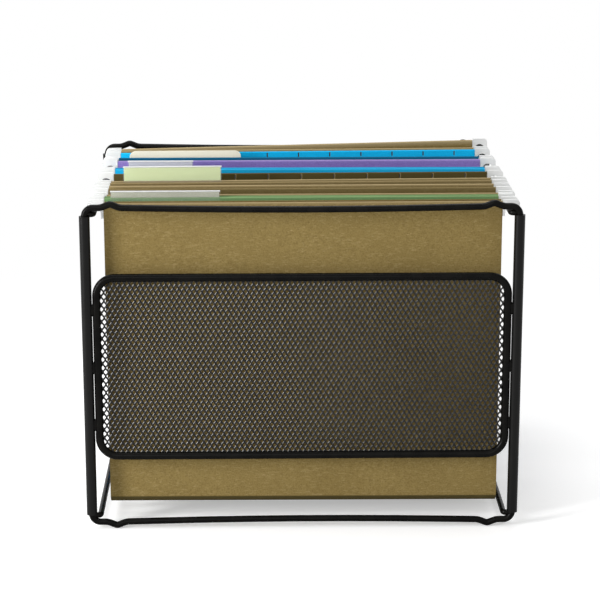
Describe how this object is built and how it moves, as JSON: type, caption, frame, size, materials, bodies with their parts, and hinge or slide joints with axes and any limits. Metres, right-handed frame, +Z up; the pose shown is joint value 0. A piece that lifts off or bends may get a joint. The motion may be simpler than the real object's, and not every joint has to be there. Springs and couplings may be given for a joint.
{
  "type": "desktop file organizer",
  "caption": "Black wire desktop frame with mesh ends, four posts and side rails, carrying hanging folders with tabs and hooks.",
  "frame": {"origin": "on the desk, midway between the four posts", "axes": "+X to the right along the bars, +Y from the front panel to the rear panel, +Z up"},
  "size_m": [0.3304, 0.254, 0.2645],
  "materials": {
    "black_wire": "satin black powder coat on steel wire",
    "black_tube": "satin black powder coat on steel tube",
    "black_mesh": "satin black powder coat on expanded steel",
    "kraft_paper": "heavy uncoated kraft card, olive tan, with short fibres",
    "green_paper": "heavy uncoated card",
    "blue_paper": "heavy uncoated card",
    "purple_paper": "heavy uncoated card",
    "strip_steel": "cold-rolled strip",
    "hook_plastic": "translucent white moulding",
    "clear_plastic": "clear folded sheet",
    "green_label": "pale green label, bare",
    "white_label": "pale grey label, bare",
    "manila_card": "cream manila card"
  },
  "bodies": {
    "frame": {"upper_front_bar": "black_wire", "upper_rear_bar": "black_wire", "lower_front_bar": "black_wire", "lower_rear_bar": "black_wire", "left_upper_rail": "black_wire", "left_lower_rail": "black_wire", "right_upper_rail": "black_wire", "right_lower_rail": "black_wire", "front_left_post": "black_tube", "front_right_post": "black_tube", "front_panel_rim": "black_wire", "front_panel_mesh": "black_mesh", "front_panel_welds": "black_wire", "rear_left_post": "black_tube", "rear_right_post": "black_tube", "rear_panel_rim": "black_wire", "rear_panel_mesh": "black_mesh", "rear_panel_welds": "black_wire"},
    "folder_1": {"folder_1_sheet": "kraft_paper", "folder_1_strips": "strip_steel", "folder_1_hooks": "hook_plastic"},
    "folder_2": {"folder_2_sheet": "green_paper", "folder_2_strips": "strip_steel", "folder_2_hooks": "hook_plastic", "front_tab": "clear_plastic", "front_tab_insert": "white_label"},
    "folder_3": {"folder_3_sheet": "kraft_paper", "folder_3_strips": "strip_steel", "folder_3_hooks": "hook_plastic"},
    "folder_4": {"folder_4_sheet": "kraft_paper", "folder_4_strips": "strip_steel", "folder_4_hooks": "hook_plastic"},
    "folder_5": {"folder_5_sheet": "kraft_paper", "folder_5_strips": "strip_steel", "folder_5_hooks": "hook_plastic", "label_tab": "clear_plastic", "label_tab_insert": "green_label"},
    "folder_6": {"folder_6_sheet": "blue_paper", "folder_6_strips": "strip_steel", "folder_6_hooks": "hook_plastic", "rear_tab": "clear_plastic", "rear_tab_insert": "white_label"},
    "folder_7": {"folder_7_sheet": "purple_paper", "folder_7_strips": "strip_steel", "folder_7_hooks": "hook_plastic"},
    "folder_8": {"folder_8_sheet": "blue_paper", "folder_8_strips": "strip_steel", "folder_8_hooks": "hook_plastic"},
    "folder_9": {"folder_9_sheet": "kraft_paper", "folder_9_strips": "strip_steel", "folder_9_hooks": "hook_plastic"},
    "manila_file": {"manila_file": "manila_card"}
  },
  "joints": [
    {"name": "folder_1_slide", "type": "slide", "parent": "frame", "child": "folder_1", "axis": [0, 1, 0], "range_m": [-0.003, 0.0041]},
    {"name": "folder_2_slide", "type": "slide", "parent": "frame", "child": "folder_2", "axis": [0, 1, 0], "range_m": [-0.0041, 0.0027]},
    {"name": "folder_3_slide", "type": "slide", "parent": "frame", "child": "folder_3", "axis": [0, 1, 0], "range_m": [-0.0027, 0.0048]},
    {"name": "folder_4_slide", "type": "slide", "parent": "frame", "child": "folder_4", "axis": [0, 1, 0], "range_m": [-0.0048, 0.0033]},
    {"name": "folder_5_slide", "type": "slide", "parent": "frame", "child": "folder_5", "axis": [0, 1, 0], "range_m": [-0.0033, 0.0055]},
    {"name": "folder_6_slide", "type": "slide", "parent": "frame", "child": "folder_6", "axis": [0, 1, 0], "range_m": [-0.0055, 0.0135]},
    {"name": "folder_7_slide", "type": "slide", "parent": "frame", "child": "folder_7", "axis": [0, 1, 0], "range_m": [-0.0135, 0.0024]},
    {"name": "folder_8_slide", "type": "slide", "parent": "frame", "child": "folder_8", "axis": [0, 1, 0], "range_m": [-0.0024, 0.0031]},
    {"name": "folder_9_slide", "type": "slide", "parent": "frame", "child": "folder_9", "axis": [0, 1, 0], "range_m": [-0.0031, 0]},
    {"name": "manila_file_lift", "type": "slide", "parent": "folder_8", "child": "manila_file", "axis": [0, 0, 1], "range_m": [0, 0.2]}
  ]
}
